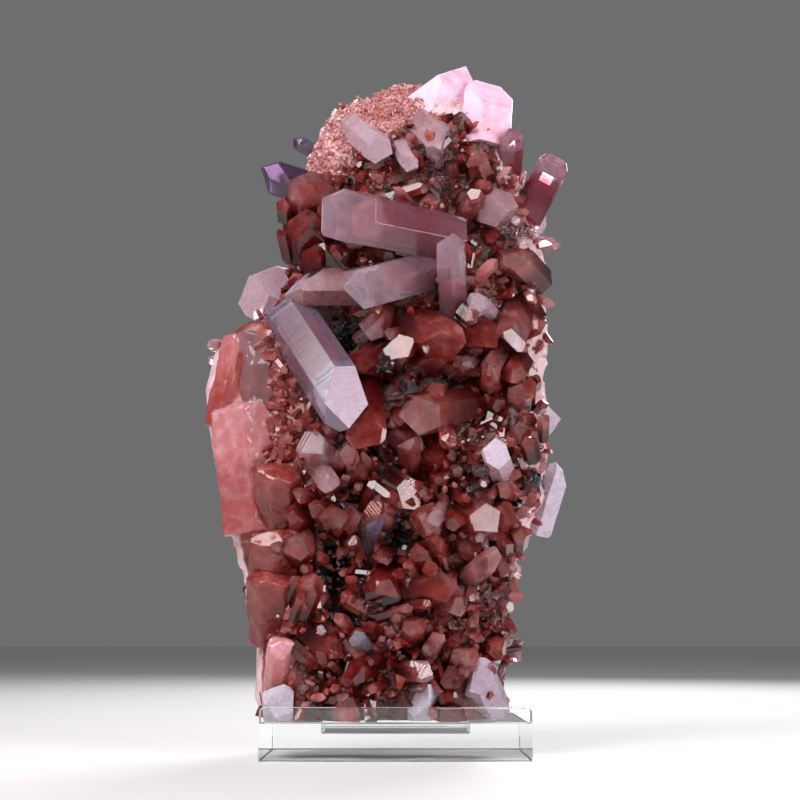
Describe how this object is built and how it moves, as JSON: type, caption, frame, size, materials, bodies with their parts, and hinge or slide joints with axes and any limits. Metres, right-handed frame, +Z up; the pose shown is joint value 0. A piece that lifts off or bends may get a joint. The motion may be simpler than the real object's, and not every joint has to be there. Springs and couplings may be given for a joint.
{
  "type": "phantom quartz cluster",
  "caption": "Red phantom quartz cluster with lilac and clear crystal tips, standing upright in a one-piece clear acrylic display stand",
  "frame": {"origin": "middle of the stand's underside", "axes": "+Z up, the specimen's best side and the stand's front lip face -Y, +X to the right seen from the front"},
  "size_m": [0.0966, 0.068, 0.1862],
  "materials": {
    "quartz": "glassy, partly frosted crystal faces over brick-red matrix",
    "acrylic": "clear polished acrylic"
  },
  "bodies": {
    "root": {"quartz_cluster": "quartz", "acrylic_stand": "acrylic"}
  },
  "joints": []
}
